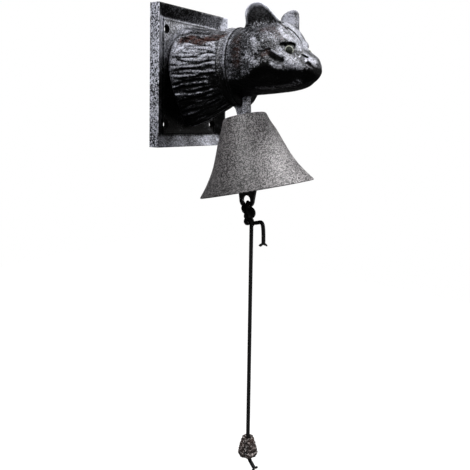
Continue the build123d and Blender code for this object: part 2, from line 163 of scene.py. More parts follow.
# Sand-cast skin under paint: speckle, broad patches of tone and a height for the bump
def makeCastSkin():
    group = bpy.data.node_groups.new("castSkin", "ShaderNodeTree")
    group.interface.new_socket("Vector", in_out="INPUT", socket_type="NodeSocketVector")
    for label in ("Grain Scale", "Patch Scale"):
        group.interface.new_socket(label, in_out="INPUT", socket_type="NodeSocketFloat")
    for label in ("Speckle", "Patches", "Height"):
        group.interface.new_socket(label, in_out="OUTPUT", socket_type="NodeSocketFloat")
    given = group.nodes.new("NodeGroupInput").outputs
    place, scale = given["Vector"], given["Grain Scale"]
    cells = group.nodes.new("ShaderNodeTexVoronoi")
    feed(group, cells.inputs["Vector"], place)
    feed(group, cells.inputs["Scale"], scale)
    cellTone = group.nodes.new("ShaderNodeSeparateColor")
    feed(group, cellTone.inputs["Color"], cells.outputs["Color"])
    softGrain = noiseNode(group, place, scale, 1.0, 0.5)
    grain = blendLevel(group, 0.0, [(cellTone.outputs["Red"], 0.4), (softGrain, 0.6)])
    patches = noiseNode(group, place, given["Patch Scale"], 4.0, 0.6, 0.4)
    lumps = noiseNode(group, place, mathNode(group, "MULTIPLY", scale, 0.35), 2.0)
    height = blendLevel(group, 0.0, [(grain, 0.6), (lumps, 0.4)])
    made = group.nodes.new("NodeGroupOutput").inputs
    for label, value in (("Speckle", grain), ("Patches", patches), ("Height", height)):
        feed(group, made[label], value)
    return group


castSkin = makeCastSkin()


def skinNode(tree, place, grain, patch):
    skin = tree.nodes.new("ShaderNodeGroup")
    skin.node_tree = castSkin
    for label, value in (("Vector", place), ("Grain Scale", grain), ("Patch Scale", patch)):
        feed(tree, skin.inputs[label], value)
    return skin.outputs


def startMaterial(name):
    material = bpy.data.materials.new(name)
    material.use_nodes = True
    tree = material.node_tree
    place = tree.nodes.new("ShaderNodeTexCoord").outputs["Object"]
    return material, tree, tree.nodes["Principled BSDF"], place


def ironMaterial(name, look):
    material, tree, shader, place = startMaterial(name)
    skin = skinNode(tree, place, look["grain"], look["patch"])
    tone = ramp(tree, skin["Patches"], 0.35, 0.68, look["dark"], look["light"])
    fleck = ramp(tree, skin["Speckle"], *look["fleckRange"])
    # fewer flecks, so darker, towards the bell's left: painted shade on that side
    if "leftShade" in look:  # fewer flecks on the left
        fleck = mathNode(tree, "MULTIPLY", fleck, spanNode(tree, axesNode(tree, place)["X"], *look["leftShade"]))
    feed(tree, shader.inputs["Base Color"], mixColour(tree, fleck, tone, (*look["fleck"], 1)))
    feed(tree, shader.inputs["Roughness"], spanNode(tree, skin["Speckle"], 0, 1, *look["rough"]))
    feed(tree, shader.inputs["Metallic"], look.get("metal", 0.0))
    bumpFrom(tree, skin["Height"], shader, look["depth"], look["bump"])
    return material


ironLooks = {
    "bellIron": {
        "grain": 1060, "patch": 22, "dark": (0.002, 0.002, 0.002), "light": (0.006, 0.005, 0.005),
        "fleckRange": (0.45, 0.62), "fleck": (0.25, 0.236, 0.242), "rough": (0.36, 0.56),
        # the flecks thin out towards the bell's left as painted shade on that side
        "bump": 1.0, "depth": 1.0, "leftShade": (-0.062, -0.018, 0.35),
    },
    "clapperIron": {
        "grain": 900, "patch": 60, "dark": (0.004, 0.004, 0.004), "light": (0.01, 0.009, 0.009),
        "fleckRange": (0.6, 0.8), "fleck": (0.03, 0.028, 0.028), "rough": (0.4, 0.55),
        "bump": 0.5, "depth": 0.3,
    },
    "pullIron": {
        "grain": 480, "patch": 110, "dark": (0.002, 0.002, 0.002), "light": (0.035, 0.02, 0.016),
        "fleckRange": (0.57, 0.74), "fleck": (0.3, 0.26, 0.25), "rough": (0.28, 0.5),
        "bump": 1.0, "depth": 1.2,
    },
    "screwSteel": {
        "grain": 1500, "patch": 200, "dark": (0.3, 0.3, 0.31), "light": (0.42, 0.42, 0.43),
        "fleckRange": (0.7, 0.9), "fleck": (0.2, 0.18, 0.16), "rough": (0.3, 0.42),
        "bump": 0.15, "depth": 0.1, "metal": 1.0,
    },
}
ironMaterials = {name: ironMaterial(name, look) for name, look in ironLooks.items()}

# The cord's braid, the dark eyes and the pale rings round them
mottledLooks = {
    "blackBraid": {
        "scale": 2600, "range": (0.35, 0.75), "dark": (0.001, 0.001, 0.001), "light": (0.01, 0.01, 0.01),
        "rough": 0.6, "specular": 0.2, "bump": 0.5, "depth": 0.2,
    },
    "eyeGlaze": {
        "scale": 900, "range": (0.35, 0.7), "dark": (0.002, 0.003, 0.002), "light": (0.02, 0.024, 0.017),
        "rough": 0.5, "specular": 0.12,
    },
    "eyeLid": {
        "scale": 900, "range": (0.3, 0.7), "dark": (0.2, 0.21, 0.17), "light": (0.4, 0.41, 0.34),
        "rough": 0.4, "specular": 0.5,
    },
}


def mottledMaterial(name):
    look = mottledLooks[name]
    material, tree, shader, place = startMaterial(name)
    mottle = noiseNode(tree, place, look["scale"], 2.0)
    feed(tree, shader.inputs["Base Color"], ramp(tree, mottle, *look["range"], look["dark"], look["light"]))
    feed(tree, shader.inputs["Roughness"], look["rough"])
    feed(tree, shader.inputs["Specular IOR Level"], look["specular"])
    if "depth" in look:
        bumpFrom(tree, mottle, shader, look["depth"], look["bump"])
    return material


braid = mottledMaterial("blackBraid")

# The cat's paint follows four painted masks: tone, which is mostly painted light and shade, warmth, the
# relief of its fur, which paints ridges lighter and grooves darker as highlight and shade, and the paint's
# grain
catLook = {
    "hair": 1000, "hairStretch": (1, 0.22, 1), "grit": 900, "patch": 45, "mottle": 210,
    "brown": (0.06, 0.03, 0.026), "rough": (0.24, 0.46),
}


def catMaterial():
    material, tree, shader, place = startMaterial("catIron")
    masks = {}
    for label in ("tone", "warm", "relief", "grain"):
        node = tree.nodes.new("ShaderNodeAttribute")
        node.attribute_name = label
        masks[label] = node.outputs["Fac"]
    stretch = tree.nodes.new("ShaderNodeMapping")
    stretch.inputs["Scale"].default_value = catLook["hairStretch"]
    feed(tree, stretch.inputs["Vector"], place)
    hair = noiseNode(tree, stretch.outputs["Vector"], catLook["hair"], 3.0, 0.65)
    grit = skinNode(tree, place, catLook["grit"], catLook["patch"])["Speckle"]
    mottle = noiseNode(tree, place, catLook["mottle"])
    grain = blendLevel(tree, -1.5, [(hair, 1.2), (grit, 1.3), (mottle, 0.5)])
    texture = mathNode(tree, "MULTIPLY", masks["grain"], grain)
    # tone and relief lighten lit faces and ridges and darken grooves and undersides: painted light and shade
    level = blendLevel(tree, 0.3, [(masks["tone"], 0.5), (masks["relief"], 0.5), (texture, 1.0)])
    warmth = mathNode(tree, "MULTIPLY", masks["warm"], ramp(tree, mottle, 0.4, 0.66))
    colour = mixColour(tree, warmth, paintTone(tree, level, shader), (*catLook["brown"], 1))
    feed(tree, shader.inputs["Base Color"], colour)
    feed(tree, shader.inputs["Roughness"], spanNode(tree, grit, 0, 1, *catLook["rough"]))
    bumpFrom(tree, blendLevel(tree, 0.0, [(hair, 0.7), (grit, 0.5)]), shader, 1.0)
    return material


# The plate: pale speckled outer edges; a bluish foot bevel, upper panel, top edge and far side, painted as
# highlights and light from above, the panel darker lower down; painted shade round the holes; dark elsewhere.
# Places in metres.
plateLook = {
    "grain": 700, "patch": 38, "rough": (0.26, 0.5),
    "outer": (0.0588, 0.0594), "upper": (-0.005, 0.045), "foot": (-0.0605, -0.064),
    "crest": (0.0615, 0.0635), "crestAcross": (-0.04, 0.05),
    "corner": (0.049, 0.053), "cornerLevel": (0.02, 0.045),
    "hole": (0.041, 0.0505), "holeShade": (0.005, 0.0045),
}


def plateMaterial():
    look = plateLook
    material, tree, shader, place = startMaterial("plateIron")
    across, level = (axesNode(tree, place)[axis] for axis in ("X", "Z"))
    aside = mathNode(tree, "ABSOLUTE", across)

    def both(first, second):
        return mathNode(tree, "MULTIPLY", first, second)

    def awaySquared(source, middle):
        return mathNode(tree, "POWER", mathNode(tree, "SUBTRACT", source, middle), 2.0)

    outer = spanNode(tree, aside, *look["outer"])
    inner = mathNode(tree, "SUBTRACT", 1.0, outer)
    upper = both(spanNode(tree, level, *look["upper"]), spanNode(tree, level, *reversed(look["crest"])))
    crest = both(spanNode(tree, level, *look["crest"]), spanNode(tree, across, *look["crestAcross"]))
    height = mathNode(tree, "ABSOLUTE", level)
    hole = mathNode(tree, "ADD", awaySquared(aside, look["hole"][0]), awaySquared(height, look["hole"][1]))
    # painted shade round each hole
    holeShade = spanNode(tree, hole, *(radius ** 2 for radius in look["holeShade"]))
    foot = spanNode(tree, level, *look["foot"])
    corner = both(spanNode(tree, across, *look["corner"]), spanNode(tree, level, *look["cornerLevel"]))
    skin = skinNode(tree, place, look["grain"], look["patch"])
    grit = skin["Speckle"]
    # the panel's top, the top edge, the far side and the foot are painted highlights and light from above
    tone = blendLevel(tree, -1.05, [
        (outer, 0.6), (both(upper, inner), 0.52), (crest, 0.5), (holeShade, -0.6), (both(foot, inner), 0.62),
        (corner, 0.4), (grit, 0.9), (skin["Patches"], 1.2),
        (both(outer, mathNode(tree, "SUBTRACT", grit, 0.5)), 1.3),
    ])
    feed(tree, shader.inputs["Base Color"], paintTone(tree, tone, shader))
    feed(tree, shader.inputs["Roughness"], spanNode(tree, grit, 0, 1, *look["rough"]))
    bumpFrom(tree, skin["Height"], shader, 0.8)
    return material


print("materials ready")


# Mesh helpers, all in millimetres until a piece is finished
def wrapGrid(bm, rows, sides, place):
    grid = bmesh.ops.create_grid(bm, x_segments=rows, y_segments=sides, size=0.5)["verts"]
    for vert in grid:
        vert.co = place(vert.co.x + 0.5, (vert.co.y + 0.5) * 2 * math.pi)
    bmesh.ops.remove_doubles(bm, verts=grid, dist=0.001)


def closeShell(bm, fill=True):
    if fill:
        bmesh.ops.holes_fill(bm, edges=bm.edges, sides=0)
    bmesh.ops.recalc_face_normals(bm, faces=bm.faces)


def shellObject(bm, name):
    mesh = bpy.data.meshes.new(name)
    bm.to_mesh(mesh)
    bm.free()
    piece = bpy.data.objects.new(name, mesh)
    scene.collection.objects.link(piece)
    return piece


def standAt(place, ahead):
    return Matrix.Translation(place) @ ahead.to_track_quat("Z", "Y").to_matrix().to_4x4()


def spinRound(bm, geom, steps):
    turn = 2 * math.pi
    bmesh.ops.spin(bm, geom=geom, cent=(0, 0, 0), axis=(0, 0, 1), angle=turn, steps=steps, use_merge=True)


# Outline of radii and levels, open or closed, spun about the upright axis
def spinOutline(outline, steps, closed):
    bm = bmesh.new()
    chain = [bm.verts.new((radius, 0, level)) for radius, level in outline]
    for first, second in zip(chain, chain[1:] + (chain[:1] if closed else [])):
        bm.edges.new((first, second))
    spinRound(bm, bm.verts[:] + bm.edges[:], steps)
    if not closed:  # its ends meet on the axis
        bmesh.ops.remove_doubles(bm, verts=bm.verts, dist=0.01)
    bmesh.ops.recalc_face_normals(bm, faces=bm.faces)
    return bm


def bakeModifiers(piece):
    bpy.context.view_layer.update()
    baked = bpy.data.meshes.new_from_object(piece.evaluated_get(bpy.context.evaluated_depsgraph_get()))
    piece.modifiers.clear()
    old = piece.data
    piece.data = baked
    bpy.data.meshes.remove(old)


def finishPiece(piece, materials, body, slotName, *replaced):
    piece.data.transform(Matrix.Scale(mm, 4))
    for material in materials:
        piece.data.materials.append(material)
    piece.data.shade_smooth()
    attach(piece, body)
    if replaced:
        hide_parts(*replaced)


def readPoints(mesh):
    points = np.empty(len(mesh.vertices) * 3)
    mesh.vertices.foreach_get("co", points)
    return points.reshape(-1, 3)


# Distance of the vertices near a stroke from it, and how far along it each one lies
def strokeGap(points, path, radius):
    path = np.array(path, float)
    near = np.all((points > path.min(0) - radius) & (points < path.max(0) + radius), axis=1).nonzero()[0]
    local = points[near]
    gap = np.full(len(near), 1e9)
    along = np.zeros(len(near))
    runs = max(len(path) - 1, 1)
    for i in range(runs):
        start = path[i]
        run = path[min(i + 1, len(path) - 1)] - start
        share = np.clip((local - start) @ run / max(run @ run, 1e-9), 0, 1)
        away = np.linalg.norm(local - start - share[:, None] * run, axis=1)
        closer = away < gap
        gap = np.where(closer, away, gap)
        along = np.where(closer, (i + share) / runs, along)
    return near, gap, along


# Pushes or presses a mesh along its normals near each stroke and returns how far
def carve(mesh, strokes, sharp=True):
    points = readPoints(mesh)
    normals = np.empty(points.size)
    mesh.vertex_normals.foreach_get("vector", normals)
    normals = normals.reshape(-1, 3)
    lift = np.zeros(len(points))
    for path, radius, height in strokes:
        near, gap, along = strokeGap(points, path, radius)
        reach = np.clip(1 - gap / radius, 0, 1)
        if sharp:
            lift[near] += height * reach ** 1.2 * np.minimum(1, 5 * np.minimum(along, 1 - along) + 0.25)
        else:
            lift[near] += height * (reach * (2 - reach)) ** 2
    points += normals * lift[:, None]
    mesh.vertices.foreach_set("co", points.ravel())
    mesh.update()
    return lift


# Blends values over a mask near each stroke: path, radius, value
def paintOver(points, mask, strokes):
    for path, radius, value in strokes:
        near, gap, _ = strokeGap(points, path, radius)
        reach = np.clip(1.6 * (1 - gap / radius), 0, 1)
        mask[near] += (value - mask[near]) * reach


def bothSides(strokes):
    mirrored = [([(-x, y, z) for x, y, z in path], *rest) for path, *rest in strokes]
    return strokes + mirrored


# Where the bell's crown meets the lug, and how far both tilt out of the wall
hangPlace = Vector((0, -82.4, -38.1))
hangTilt = math.radians(13)

# Cat's bust: neck with fur locks, collar, head, ears, eyes and lug in one casting
bustSizes = {
    "voxel": 1.0,
    "furSeed": 11,
    "furRows": 58,
    "eyePlace": (20.2, -146.2, 25.4),
    "gaze": (0.72, -0.68, 0.12),
    "eyeRadius": 4.6,
    "eyeSink": 1.6,
    "lidRadius": 0.5,
    "lidInset": 0.85,
    "lidLift": 0.9,
}


def sectionPoint(angle, halfWidth, top, bottom, widest, power=1.0):
    across, rise = math.cos(angle), math.sin(angle)
    if rise < 0:
        across = math.copysign(abs(across) ** power, across)
        rise = -(abs(rise) ** power)
    reach = top - widest if rise >= 0 else widest - bottom
    return halfWidth * across, widest + reach * rise


# Neck, from the panel to the collar: each size at its start, and how much less at its end
neckSizes = {
    "start": 6, "end": 71.5, "widest": 12, "halfWidth": (40.3, 8.3), "above": (45.6, 7.6),
    "below": (66, 29.5), "belowPower": 1.3, "keel": (1.4, 0.4), "footShrink": 0.07, "footRuns": 20,
}


def neckPoint(part, angle):
    def falling(key, share):
        first, less = neckSizes[key]
        return first - less * share

    full = 1 - neckSizes["footShrink"] * max(0, 1 - part * neckSizes["footRuns"])
    widest = neckSizes["widest"]
    x, z = sectionPoint(
        angle,
        falling("halfWidth", part) * full,
        widest + falling("above", math.sin(math.pi * part / 2)) * full,
        widest - falling("below", part ** neckSizes["belowPower"]) * full,
        widest,
        falling("keel", part),
    )
    return Vector((x, -neckSizes["start"] - (neckSizes["end"] - neckSizes["start"]) * part, z))


# Head: distance from the wall, then half width, top, bottom and widest level of each section
headRings = np.array([
    (67, 32, 50.2, -23, 13.5),
    (80, 34.5, 52, -20, 14),
    (94, 38.3, 54.5, -17, 15),
    (106, 39.8, 56.5, -16, 15),
    (118, 39.3, 57.5, -15, 14),
    (128, 37, 56.5, -14, 12),
    (136, 34, 53.5, -13, 10),
    (143, 30, 46, -12, 8),
    (148, 26, 36.5, -11, 6.5),
    (152, 21.8, 29.5, -10, 5.5),
    (156, 18.8, 25.5, -8.5, 5),
    (161, 16, 22.5, -5, 5),
    (165, 13.4, 20, -2.5, 6),
    (167.8, 9.8, 17.6, 0.5, 7.5),
    (169.2, 5, 14, 4, 8),
])


def headPoint(share, angle):
    distance = headRings[0, 0] + (headRings[-1, 0] - headRings[0, 0]) * share
    section = (np.interp(distance, headRings[:, 0], headRings[:, i]) for i in range(1, 5))
    x, z = sectionPoint(angle, *section)
    return Vector((x, -distance, z))


# Collar: two raised rims with a shallow band between them
collarSizes = {
    "start": 67.2, "length": 13.4, "lean": math.tan(math.radians(4)), "level": 12,
    "profile": 13.2, "rimEdges": (0.2, 2.6),
    "rim": 1.3, "band": -0.3, "ends": -2.5, "halfWidth": 33.6, "top": 52.2, "bottom": -28.5, "widest": 14,
}


def collarPoint(share, angle):
    size = collarSizes
    edge = min(share, 1 - share) * size["profile"]
    swell = size["rim"] if edge > size["rimEdges"][0] else size["ends"]
    if edge >= size["rimEdges"][1]:
        swell = size["band"]
    x, z = sectionPoint(
        angle, size["halfWidth"] + swell, size["top"] + swell, size["bottom"] - swell, size["widest"]
    )
    return Vector((x, -size["start"] - size["length"] * share + size["lean"] * (z - size["level"]), z))


# Ears: across is the level direction along an ear, and each outline runs along it and up
earSizes = {
    "thick": 7.6,
    "front": 1.5,
    "backScale": 0.86,
    "hollow": 4.4,
    "steps": ((2.2, 0), (1.4, 0.6), (3.5, 0.3)),  # rim and hollow: each inset, and its share of the depth
    "near": {
        "side": -1,
        "base": (22, -119),
        "across": (20 / 41.2, 36 / 41.2),
        "outline": [
            (24, 38), (22.6, 45), (19.6, 51), (20.9, 57), (22, 62.5), (18.8, 68.6), (13.8, 72.2),
            (8.4, 73.2), (3.6, 72.2), (-1.4, 68.8), (-7, 63.2), (-14, 55.6), (-20, 50), (-23, 44),
            (-23, 38),
        ],
    },
    "far": {
        "side": 1,
        "base": (23.5, -123.5),
        "across": (17 / 41.2, 37.5 / 41.2),
        "outline": [
            (22, 38), (22, 52), (21.8, 61.5), (20, 66.5), (15, 69.6), (8, 71.4), (1, 72), (-5, 71.4),
            (-9, 68.8), (-11, 65), (-11.5, 58), (-12, 50), (-12.5, 44), (-12.5, 38),
        ],
    },
}


def earPoints(ear, offset):
    side = ear["side"]
    base = Vector((side * ear["base"][0], ear["base"][1], 0))
    across = Vector((side * ear["across"][0], ear["across"][1], 0))
    outward = Vector((side * ear["across"][1], -ear["across"][0], 0))
    return [base + across * u + outward * offset + Vector((0, 0, z)) for u, z in ear["outline"]], outward


def makeEar(bm, ear):
    points, outward = earPoints(ear, earSizes["front"])
    middle = sum(points, Vector()) / len(points)
    front = bm.faces.new([bm.verts.new(point) for point in points])
    back = bmesh.ops.extrude_face_region(bm, geom=[front], use_keep_orig=True)
    backVerts = [item for item in back["geom"] if isinstance(item, bmesh.types.BMVert)]
    shrink = Matrix.Translation(middle) @ Matrix.Scale(earSizes["backScale"], 4) @ Matrix.Translation(-middle)
    bmesh.ops.transform(bm, matrix=shrink, verts=backVerts)
    bmesh.ops.translate(bm, vec=-outward * earSizes["thick"], verts=backVerts)
    for inset, sink in earSizes["steps"]:
        bmesh.ops.inset_region(bm, faces=[front], thickness=inset, use_even_offset=True)
        bmesh.ops.translate(bm, vec=-outward * sink * earSizes["hollow"], verts=front.verts)
    bmesh.ops.recalc_face_normals(bm, faces=bm.faces)


# Lug: half thickness and half width at the bell, and how much more at the chin
lugSizes = {"length": 26, "thick": (5, 0.5), "width": (7, 4), "corner": 0.75}


def lugPoint(share, angle):
    down = Vector((0, -math.sin(hangTilt), -math.cos(hangTilt)))
    along = Vector((0, -math.cos(hangTilt), math.sin(hangTilt)))
    corner = math.cos(angle), math.sin(angle)
    square = max(abs(corner[0]), abs(corner[1])) ** lugSizes["corner"]
    thick, width = (least + more * (1 - share) for least, more in (lugSizes["thick"], lugSizes["width"]))
    root = hangPlace - down * lugSizes["length"]
    reach = down * lugSizes["length"] * share + along * width * corner[0] / square
    return root + reach + Vector((thick * corner[1] / square, 0, 0))


# Lines of the head and neck that are both carved and painted, or painted twice: the creases painted dark as
# shade, the glints and the lip's edge pale as painted highlights, and the brown marks in the paint's own
# colour
faceLines = {
    "browCrease": [
        (-11.1, -138.6, 48.2), (-8.8, -141.9, 45.4), (-4.6, -145.3, 41.1), (-0.1, -148.2, 36.2),
        (1, -150, 32),
    ],
    "earFold": [(-18, -131.5, 55.5), (-14.5, -137, 50), (-13.5, -139, 47.3)],
    "farEarFold": [(28.3, -109.3, 66), (24.7, -117.3, 67.5), (20.9, -125.6, 66.3), (19.2, -129.3, 65)],
    "templeCrease": [(-37.6, -121.4, 24.3), (-36.5, -127, 24.2), (-33.2, -132.7, 25.7)],
    "templeBrown": [(-37.2, -126.4, 20.8), (-34.1, -130, 22.4)],
    "neckBrown": [
        (-30.3, -18.8, 38.6), (-26.5, -26.8, 41.2), (-27.5, -41.4, 37.9), (-22.3, -53.2, 41), (-22, -66, 43),
    ],
    "nostril": [(-10.6, -156.5, 21.5), (-9.5, -160.4, 19.6)],
    "noseGlint": [(-13.5, -154.4, 19.4)],
    "cheekGlint": [(-12.5, -161.2, 16)],
    "mouth": [(-12.6, -163.5, 14.1), (-12, -167.8, 10.8), (-8.1, -170.2, 8.7), (-1, -171.5, 8)],
    "lip": [(-14.5, -163.6, 12.1), (-13.8, -166.7, 9.3), (-10.6, -168.8, 7.6)],
    "noseTip": [(-5.2, -169.8, 13)],
}

broadStrokes = bothSides([
    ([(-19.5, -147, 26.5)], 8, -2.2),
    ([(-9, -152, 35.5), (-17, -148.5, 36.5), (-26, -141, 35)], 6, 1.7),
    ([(-33.5, -133, 22.5), (-31, -138, 18), (-27, -143, 15.5)], 4.6, -2.6),
    ([(-24, -150, 14), (-17, -160, 10)], 6.5, 1.1),
    ([(-30, -128, 40)], 12, 0.8),
    ([
        (-36.5, -113, 2), (-39, -122, 10), (-37, -130, 12.5), (-34.3, -136.5, 9.6), (-31.7, -139.6, 6),
    ], 5, 0.9),
    ([(-33, -118, 0), (-33, -130, 2), (-28, -142, -1), (-20, -153, 0), (-12, -163, 0)], 8, -2.0),
    ([(-33, -98, 34), (-36, -100, 22)], 8, -1.2),
]) + [
    ([(0, -151, 31)], 8, -1.4),
    ([(0, -156, 25), (0, -167, 20)], 5, 1.2),
    ([(0, -170, 15)], 6, 0.8),
]

fineStrokes = bothSides([
    ([
        (-27.4, -139.1, 30.3), (-22.8, -143.1, 30.6), (-18.1, -146, 32.2), (-13.7, -148.5, 31.4),
        (-14, -150.5, 28),
    ], 2, -1.8),
    ([(-28, -139.5, 28), (-26, -143, 23), (-20.5, -148.3, 20.6)], 1.4, 0.6),
    (faceLines["templeCrease"], 1.5, -1.2),
    ([(-32.8, -133.7, 24.8), (-30.5, -138.1, 22.4), (-28.1, -142.3, 19.8)], 1.4, 0.7),
    (faceLines["mouth"], 2, -1.6),
    (faceLines["lip"], 1.3, 0.7),
    (faceLines["noseTip"], 1.8, -1.4),
    (faceLines["nostril"], 1.6, -1.1),
    (faceLines["noseGlint"], 1.4, 0.7),
    (faceLines["cheekGlint"], 1.5, 0.7),
]) + [
    (faceLines["earFold"], 2.4, -1.8),
    (faceLines["browCrease"], 1.5, -1.1),
    ([(0, -172, 10), (0, -171, 4), (0, -169, -1)], 1.5, -1.0),
    (faceLines["farEarFold"], 1.8, -0.9),
]

# Locks on the neck, seen from the side: deep grooves and bright ridges
neckGrooves = bothSides([
    ([(-38.8, -10.2, 21.4), (-38, -17.3, 21.2), (-37.2, -23.7, 20.6)], 2, -1.6),
    ([
        (-38.9, -11.3, 6.7), (-37.4, -22.7, 8.2), (-35.2, -32, 9.2), (-34.6, -42.5, 9.3),
        (-34.3, -54.3, 10.1), (-32.9, -65, 10.8),
    ], 2.4, -2.6),
    ([(-35.2, -41.5, 13.6), (-34.2, -51.4, 16), (-32.3, -61.7, 17.9)], 2, -2.2),
    ([(-34.2, -43.1, 22.8), (-32.5, -52.4, 25.2), (-30.4, -60, 26.7)], 1.8, -1.4),
    ([
        (-34.8, -17.8, -1.5), (-35.2, -32.2, -0.1), (-34, -44.9, 1.4), (-32, -56.7, 3.9),
        (-32.4, -66.1, 5.3),
    ], 2.2, -2.4),
    ([(-34.7, -9.2, -7.3), (-34.3, -25.9, -4.7), (-33, -41.4, -2.7), (-31.1, -54.8, -1.6)], 2.2, -2.4),
    ([(-33.5, -9, -12.4), (-32.8, -19.1, -10.9), (-31.6, -35, -9.3), (-29.9, -52.6, -6.7)], 2.2, -2.4),
    ([(-30.2, -25.5, -16.1), (-28.9, -43.9, -13.9), (-28, -56.6, -11.2)], 2, -2),
    ([(-26.2, -10.8, -25.7), (-26.2, -30.7, -22.3), (-25.1, -49.2, -18.4)], 2, -2),
    ([(-39, -8, 13.2), (-38.9, -12.6, 12.9), (-38, -20.3, 12.6)], 1.8, -1.4),
])
neckRidges = bothSides([
    ([(-35.6, -17.9, 29.2), (-33.8, -24.7, 31.2)], 1.8, 1),
    ([(-33.9, -22.8, -2.4), (-35.7, -35.3, 0.8), (-34, -46.2, 2.6)], 1.7, 1.2),
    ([(-33.5, -9, -10.4), (-33.5, -13.9, -9.2), (-34.7, -26.3, -6.4)], 1.7, 1.2),
    ([(-29.7, -25.1, -18.2), (-28.8, -35.6, -16.4), (-28.7, -47.8, -13.8)], 1.6, 1),
    ([(-30.4, -9.9, -18.3), (-30.7, -17.4, -16.7)], 1.6, 1),
    ([(-23, -32.4, -25.3), (-22.8, -43.3, -23.1)], 1.6, 0.9),
    ([(-34, -41.7, 20.4), (-32.9, -54.2, 22.6)], 1.7, 0.9),
])

# Tones of the paint: painted highlights and bluish sky reflections on the lit faces, painted shade in creases
# and under the neck and head, and its brown patches
lightShadeAndToneStrokes = bothSides([
    (faceLines["neckBrown"], 6, -0.35),
    ([(-20, -9, 49), (-18.9, -14.5, 50.6)], 7, 0.6),
    ([(-36.9, -7.7, 26.8), (-35.1, -27.3, 27.4), (-32.6, -45.8, 27), (-29.5, -60.5, 29.8)], 8, 0.75),
    ([(-39, -8, 15), (-38.2, -23.3, 14.8), (-35.4, -41.6, 16.7), (-32.2, -61.6, 19.4)], 8, 0.65),
    ([(-38.5, -8, 3), (-36.2, -19, 3.6), (-35.6, -35.2, 5.5)], 6, 0.4),
    ([(-33, -62, -2), (-29, -66, -12), (-26, -64, -20)], 9, -0.7),
    ([(-31, -91, 38), (-37.7, -94, 25.4), (-39.5, -97, 13.7), (-37, -98, 2)], 9, -0.25),
    ([(-24.4, -106.1, 51.6), (-20.2, -114, 50.7), (-19.5, -125.3, 50.2)], 4, 0.35),
    ([(-33.6, -113, 34.9), (-36.4, -117.4, 29.7), (-37.3, -120.5, 25.7)], 5, 0.65),
    ([(-30.3, -125.8, 38.4), (-28.1, -131.2, 38.4), (-27.8, -138.1, 34)], 6, 0.45),
    ([(-18.9, -135.4, 46.4), (-19.3, -141.7, 39), (-16.1, -146.8, 35), (-9.1, -150.8, 29.4)], 6.5, 0.8),
    ([(-29, -141, 24.5), (-25.5, -146, 18.6), (-20.5, -150.7, 16.2), (-18.2, -154.6, 13.4)], 5, 0.75),
    ([(-25.5, -147.8, 12.9), (-21.2, -152.1, 11.3), (-17.8, -158, 10.2)], 4.5, 0.6),
    ([(-9.1, -157.9, 21.6), (-8.8, -163.4, 18.2), (-6.4, -168.9, 15)], 5, 0.85),
    ([(-39.8, -110.8, 19.2), (-40.1, -117, 15.2), (-39.1, -121.2, 12)], 5, 0.6),
    ([(-35, -136, 12), (-32.6, -138.9, 9.5), (-30.2, -143, 9.4)], 3, 0.6),
    (faceLines["templeBrown"], 3, 0.0),
    ([(-32.5, -132.5, 21), (-30.6, -136.1, 17.9), (-27, -142.2, 15.8)], 3.6, -0.9),
    ([(-32.8, -133.7, 25), (-30.5, -138.1, 22.6), (-28.1, -142.3, 20)], 1.6, 0.8),
    (faceLines["templeCrease"], 1.5, -1),
    ([
        (-25.5, -140.6, 30.3), (-22.8, -143.1, 30.4), (-18.1, -146, 32), (-13.9, -148.5, 31.4),
        (-14.6, -150, 29),
    ], 1.9, -1.6),
    ([(-19.5, -147.5, 26.5)], 5.4, -1.2),
    (faceLines["nostril"], 2, -1.8),
    (faceLines["noseGlint"], 1.8, 1.8),
    (faceLines["cheekGlint"], 1.8, 1.8),
    (faceLines["mouth"], 2.2, -2),
    (faceLines["lip"], 1.3, 1.6),
    (faceLines["noseTip"], 1.8, -1),
]) + [
    (faceLines["earFold"], 2.6, -2),
    ([(4.7, -142.9, 45.5), (2.2, -146.1, 39.9), (6.2, -148.7, 35)], 5, 0.9),
    ([(-10, -131, 53), (-6, -141, 45), (0, -149, 35)], 11, 0.8),
    ([(20, -124, 58), (24, -118, 62), (26, -122, 68)], 12, 1.3),
    (faceLines["farEarFold"], 2.4, -0.8),
    (faceLines["browCrease"], 1.2, -1),
]

warmStrokes = bothSides([
    (faceLines["neckBrown"], 6.5, 1),
    ([(-27.2, -118.8, 44.8), (-23.1, -127.7, 46.7), (-25.6, -138.8, 36.5)], 5, 0.5),
    (faceLines["templeBrown"], 3.5, 0.8),
    ([(-31, -91, 38), (-37.7, -94, 25.4), (-39.5, -97, 13.7)], 8, 0.35),
])


# Line along the rim of an ear, a little inside its outline
def earEdge(ear):
    rim = earPoints(ear, 0.5)[0][1:-1]
    middle = sum(rim, Vector()) / len(rim)
    return [tuple(middle + 0.94 * (point - middle)) for point in rim]


nearEdge = earEdge(earSizes["near"])
# Painted highlights along the near ear's rim
earRimHighlights = [
    (nearEdge[1:4], 2.8, 0.5), (nearEdge[3:7], 5.4, 1.7), (nearEdge[6:9], 3.8, 1.5), (nearEdge[8:11], 3, 1),
]

# Level of the edge between cheek and jaw, below which the head is painted near black as shade, from the nose
# to the nape
jawEdge = np.array([
    (-171, 7.5), (-162.4, 6), (-154.4, 6.1), (-147.1, 4.8), (-139.6, 6), (-136.5, 9.6), (-132.7, 12.4),
    (-127.3, 12.3), (-122.3, 10.5), (-117.6, 6.8), (-112.8, 2.3), (-104, -1), (-82, -4),
])

